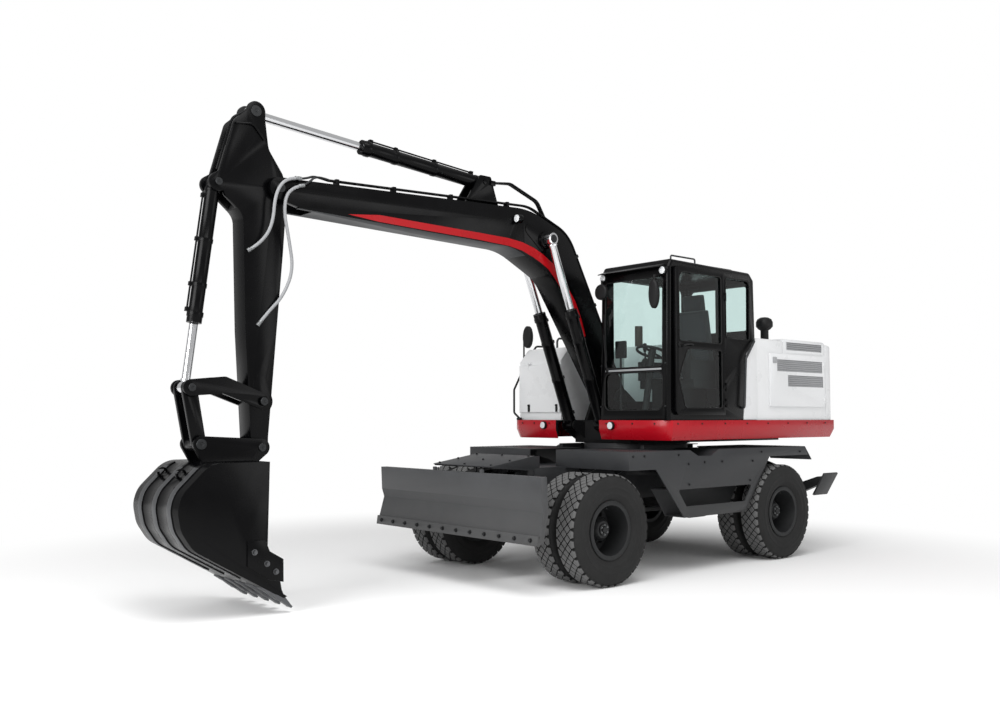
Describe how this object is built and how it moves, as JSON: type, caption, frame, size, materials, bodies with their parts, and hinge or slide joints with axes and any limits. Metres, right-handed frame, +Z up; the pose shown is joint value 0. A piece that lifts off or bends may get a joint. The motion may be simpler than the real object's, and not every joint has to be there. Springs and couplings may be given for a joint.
{
  "type": "wheeled excavator",
  "caption": "Full-size wheeled excavator with swinging upper structure, cab, boom, arm and bucket, a front dozer blade, rear stabilisers and twin tyres.",
  "frame": {"origin": "on the ground under the middle of the overall length", "axes": "+X to the machine's front, +Y to the operator's left, +Z up"},
  "size_m": [8.0459, 2.559, 4.2748],
  "materials": {
    "tyre_rubber": "matt moulded rubber",
    "rim_paint": "satin enamel",
    "chassis_paint": "satin enamel",
    "black_paint": "gloss enamel",
    "chrome_rod": "ground and plated",
    "red_paint": "gloss enamel",
    "white_paint": "gloss enamel",
    "engine_iron": "painted casting",
    "glass": "tinted safety glass",
    "seat_cloth": "woven cloth",
    "black_plastic": "moulded plastic",
    "rail_paint": "satin enamel",
    "lamp_lens": "clear lens",
    "hose_rubber": "grey sleeved hose"
  },
  "bodies": {
    "undercarriage": {"undercarriage_frame": "chassis_paint", "fenders": "chassis_paint", "blade_cover": "chassis_paint", "front_axle": "chassis_paint", "rear_axle": "chassis_paint", "drive_line": "chassis_paint", "tow_eye": "chassis_paint"},
    "knuckle_left": {"knuckle_left": "chassis_paint"},
    "knuckle_right": {"knuckle_right": "chassis_paint"},
    "steering_rod": {"steering_rod": "chassis_paint"},
    "wheel_front_left": {"tyres_front_left": "tyre_rubber", "rim_front_left": "rim_paint"},
    "wheel_front_right": {"tyres_front_right": "tyre_rubber", "rim_front_right": "rim_paint"},
    "wheel_rear_left": {"tyres_rear_left": "tyre_rubber", "rim_rear_left": "rim_paint"},
    "wheel_rear_right": {"tyres_rear_right": "tyre_rubber", "rim_rear_right": "rim_paint"},
    "blade_arms": {"blade_arms": "chassis_paint"},
    "blade_link": {"blade_link": "chassis_paint"},
    "blade": {"blade": "chassis_paint"},
    "blade_cylinder_barrels": {"blade_cylinder_barrels": "black_paint"},
    "blade_cylinder_rods": {"blade_cylinder_rods": "chrome_rod"},
    "stabiliser_left": {"stabiliser_left": "chassis_paint"},
    "stabiliser_right": {"stabiliser_right": "chassis_paint"},
    "stabiliser_barrel_left": {"stabiliser_cylinder_barrel_left": "black_paint"},
    "stabiliser_rod_left": {"stabiliser_cylinder_rod_left": "chrome_rod"},
    "stabiliser_barrel_right": {"stabiliser_cylinder_barrel_right": "black_paint"},
    "stabiliser_rod_right": {"stabiliser_cylinder_rod_right": "chrome_rod"},
    "upper": {"platform": "red_paint", "counterweight": "white_paint", "engine": "engine_iron", "engine_housing": "white_paint", "cab_frame": "black_paint", "cab_glass": "glass", "seat": "seat_cloth", "controls": "black_plastic", "tank": "white_paint", "mirrors": "black_plastic", "exhaust": "black_plastic", "handrails": "rail_paint", "work_lamps": "lamp_lens"},
    "cab_door": {"cab_door": "black_paint", "door_glass": "glass"},
    "hood": {"hood": "white_paint"},
    "side_door_left": {"side_door_left": "white_paint"},
    "side_door_right": {"side_door_right": "white_paint"},
    "toolbox_lid": {"toolbox_lid": "white_paint"},
    "boom": {"boom": "black_paint"},
    "boom_cylinder_barrels": {"boom_cylinder_barrels": "black_paint"},
    "boom_cylinder_rods": {"boom_cylinder_rods": "chrome_rod"},
    "arm": {"arm": "black_paint", "arm_hoses": "hose_rubber"},
    "arm_cylinder_barrel": {"arm_cylinder_barrel": "black_paint"},
    "arm_cylinder_rod": {"arm_cylinder_rod": "chrome_rod"},
    "bucket_cylinder_barrel": {"bucket_cylinder_barrel": "black_paint"},
    "bucket_cylinder_rod": {"bucket_cylinder_rod": "chrome_rod"},
    "rocker": {"rocker": "black_paint"},
    "bucket_link": {"bucket_link": "black_paint"},
    "bucket": {"bucket": "black_paint"}
  },
  "joints": [
    {"name": "steer", "type": "hinge", "parent": "undercarriage", "child": "knuckle_left", "pos_m": [0.20196, 0.6, 0.5275], "axis": [0, 0, 1], "range_deg": [-28, 28]},
    {"name": "steer_right", "type": "hinge", "parent": "undercarriage", "child": "knuckle_right", "pos_m": [0.20196, -0.6, 0.5275], "axis": [0, 0, 1], "range_deg": [-28, 28]},
    {"name": "steering_rod_slide", "type": "slide", "parent": "undercarriage", "child": "steering_rod", "axis": [0, 1, 0], "range_m": [-0.11, 0.11]},
    {"name": "wheel_front_left_spin", "type": "hinge", "parent": "knuckle_left", "child": "wheel_front_left", "pos_m": [0.20196, 1.135, 0.5275], "axis": [0, 1, 0], "continuous": true},
    {"name": "wheel_front_right_spin", "type": "hinge", "parent": "knuckle_right", "child": "wheel_front_right", "pos_m": [0.20196, -1.135, 0.5275], "axis": [0, 1, 0], "continuous": true},
    {"name": "wheel_rear_left_spin", "type": "hinge", "parent": "undercarriage", "child": "wheel_rear_left", "pos_m": [-2.65804, 1.135, 0.5275], "axis": [0, 1, 0], "continuous": true},
    {"name": "wheel_rear_right_spin", "type": "hinge", "parent": "undercarriage", "child": "wheel_rear_right", "pos_m": [-2.65804, -1.135, 0.5275], "axis": [0, 1, 0], "continuous": true},
    {"name": "blade_lower", "type": "hinge", "parent": "undercarriage", "child": "blade_arms", "pos_m": [0.48696, 0, 0.415], "axis": [0, 1, 0], "range_deg": [0, 57]},
    {"name": "blade_level", "type": "hinge", "parent": "blade_arms", "child": "blade", "pos_m": [0.99449, 0, 0.65167], "axis": [0, 1, 0], "range_deg": [-58, 1]},
    {"name": "blade_link_turn", "type": "hinge", "parent": "undercarriage", "child": "blade_link", "pos_m": [0.48696, 0, 0.7], "axis": [0, 1, 0], "range_deg": [-1, 58]},
    {"name": "blade_cylinder_turn", "type": "hinge", "parent": "undercarriage", "child": "blade_cylinder_barrels", "pos_m": [0.48696, 0, 1], "axis": [0, 1, 0], "range_deg": [-1, 36.55]},
    {"name": "blade_cylinder_stroke", "type": "slide", "parent": "blade_cylinder_barrels", "child": "blade_cylinder_rods", "axis": [0.9162, 0, -0.4008], "range_m": [-0.002, 0.3615]},
    {"name": "stabiliser_left_lower", "type": "hinge", "parent": "undercarriage", "child": "stabiliser_left", "pos_m": [-3.62304, 0.33, 0.52], "axis": [-1, 0, 0], "range_deg": [0, 60]},
    {"name": "stabiliser_left_cylinder_turn", "type": "hinge", "parent": "undercarriage", "child": "stabiliser_barrel_left", "pos_m": [-3.62304, 0.15, 1.08], "axis": [-1, 0, 0], "range_deg": [-1, 30.17]},
    {"name": "stabiliser_left_stroke", "type": "slide", "parent": "stabiliser_barrel_left", "child": "stabiliser_rod_left", "axis": [0, 0.9457, -0.3251], "range_m": [-0.002, 0.4022]},
    {"name": "stabiliser_right_lower", "type": "hinge", "parent": "undercarriage", "child": "stabiliser_right", "pos_m": [-3.62304, -0.33, 0.52], "axis": [1, 0, 0], "range_deg": [0, 60]},
    {"name": "stabiliser_right_cylinder_turn", "type": "hinge", "parent": "undercarriage", "child": "stabiliser_barrel_right", "pos_m": [-3.62304, -0.15, 1.08], "axis": [1, 0, 0], "range_deg": [-1, 30.17]},
    {"name": "stabiliser_right_stroke", "type": "slide", "parent": "stabiliser_barrel_right", "child": "stabiliser_rod_right", "axis": [0, -0.9457, -0.3251], "range_m": [-0.002, 0.4022]},
    {"name": "swing", "type": "hinge", "parent": "undercarriage", "child": "upper", "pos_m": [-1.57304, 0, 1.3], "axis": [0, 0, 1], "continuous": true},
    {"name": "cab_door_open", "type": "hinge", "parent": "upper", "child": "cab_door", "pos_m": [-1.66504, 1.2113, 2.3], "axis": [0, 0, 1], "range_deg": [0, 160]},
    {"name": "hood_open", "type": "hinge", "parent": "upper", "child": "hood", "pos_m": [-2.82604, 0, 2.499], "axis": [0, 1, 0], "range_deg": [0, 60]},
    {"name": "side_door_left_open", "type": "hinge", "parent": "upper", "child": "side_door_left", "pos_m": [-3.69204, 1.174, 2], "axis": [0, 0, 1], "range_deg": [0, 110]},
    {"name": "side_door_right_open", "type": "hinge", "parent": "upper", "child": "side_door_right", "pos_m": [-3.69204, -1.174, 2], "axis": [0, 0, -1], "range_deg": [0, 110]},
    {"name": "toolbox_lid_open", "type": "hinge", "parent": "upper", "child": "toolbox_lid", "pos_m": [-0.81904, -0.8175, 2.216], "axis": [0, -1, 0], "range_deg": [0, 100]},
    {"name": "boom_raise", "type": "hinge", "parent": "upper", "child": "boom", "pos_m": [-1.27304, -0.11, 1.8], "axis": [0, -1, 0], "range_deg": [-48, 38]},
    {"name": "boom_cylinder_turn", "type": "hinge", "parent": "upper", "child": "boom_cylinder_barrels", "pos_m": [-0.87304, -0.11, 1.5], "axis": [0, -1, 0], "range_deg": [-47.08, 37.48]},
    {"name": "boom_cylinder_stroke", "type": "slide", "parent": "boom_cylinder_barrels", "child": "boom_cylinder_rods", "axis": [0.3681, 0, 0.9298], "range_m": [-0.3794, 0.3008]},
    {"name": "arm_crowd", "type": "hinge", "parent": "boom", "child": "arm", "pos_m": [3.03696, -0.11, 3.55], "axis": [0, 1, 0], "range_deg": [-80, 30]},
    {"name": "arm_cylinder_turn", "type": "hinge", "parent": "boom", "child": "arm_cylinder_barrel", "pos_m": [0.68696, -0.11, 3.99], "axis": [0, 1, 0], "range_deg": [-1.35, 1.93]},
    {"name": "arm_cylinder_stroke", "type": "slide", "parent": "arm_cylinder_barrel", "child": "arm_cylinder_rod", "axis": [0.997, 0, 0.0779], "range_m": [-0.7965, 0.2999]},
    {"name": "bucket_curl", "type": "hinge", "parent": "arm", "child": "bucket", "pos_m": [3.16696, -0.11, 1.335], "axis": [0, 1, 0], "range_deg": [-55, 75]},
    {"name": "rocker_turn", "type": "hinge", "parent": "arm", "child": "rocker", "pos_m": [3.15696, -0.11, 1.72], "axis": [0, 1, 0], "range_deg": [-45.66, 61.9]},
    {"name": "bucket_link_turn", "type": "hinge", "parent": "rocker", "child": "bucket_link", "pos_m": [3.78696, -0.11, 1.825], "axis": [0, 1, 0], "range_deg": [-51.4, 37.96]},
    {"name": "bucket_cylinder_turn", "type": "hinge", "parent": "arm", "child": "bucket_cylinder_barrel", "pos_m": [3.57696, -0.11, 3.53], "axis": [0, 1, 0], "range_deg": [-2.38, 2.88]},
    {"name": "bucket_cylinder_stroke", "type": "slide", "parent": "bucket_cylinder_barrel", "child": "bucket_cylinder_rod", "axis": [0.1222, 0, -0.9925], "range_m": [-0.4474, 0.6094]}
  ],
  "couplings": [
    {"joint": "steer_right", "follows": "steer", "ratio": 1},
    {"joint": "steering_rod_slide", "follows": "steer", "m_per_rad": -0.221},
    {"joint": "blade_level", "follows": "blade_lower", "ratio": -1},
    {"joint": "blade_link_turn", "follows": "blade_lower", "ratio": 1},
    {"joint": "blade_cylinder_turn", "follows": "blade_lower", "ratio": 0.6236},
    {"joint": "blade_cylinder_stroke", "follows": "blade_lower", "m_per_rad": 0.3614},
    {"joint": "stabiliser_left_cylinder_turn", "follows": "stabiliser_left_lower", "ratio": 0.4862},
    {"joint": "stabiliser_left_stroke", "follows": "stabiliser_left_lower", "m_per_rad": 0.3822},
    {"joint": "stabiliser_right_cylinder_turn", "follows": "stabiliser_right_lower", "ratio": 0.4862},
    {"joint": "stabiliser_right_stroke", "follows": "stabiliser_right_lower", "m_per_rad": 0.3822},
    {"joint": "boom_cylinder_turn", "follows": "boom_raise", "ratio": 0.96},
    {"joint": "boom_cylinder_stroke", "follows": "boom_raise", "m_per_rad": 0.4505},
    {"joint": "arm_cylinder_turn", "follows": "arm_crowd", "ratio": -0.0116},
    {"joint": "arm_cylinder_stroke", "follows": "arm_crowd", "m_per_rad": 0.569},
    {"joint": "rocker_turn", "follows": "bucket_curl", "ratio": 0.812},
    {"joint": "bucket_link_turn", "follows": "bucket_curl", "ratio": -0.672},
    {"joint": "bucket_cylinder_turn", "follows": "bucket_curl", "ratio": 0.025},
    {"joint": "bucket_cylinder_stroke", "follows": "bucket_curl", "m_per_rad": 0.464}
  ]
}
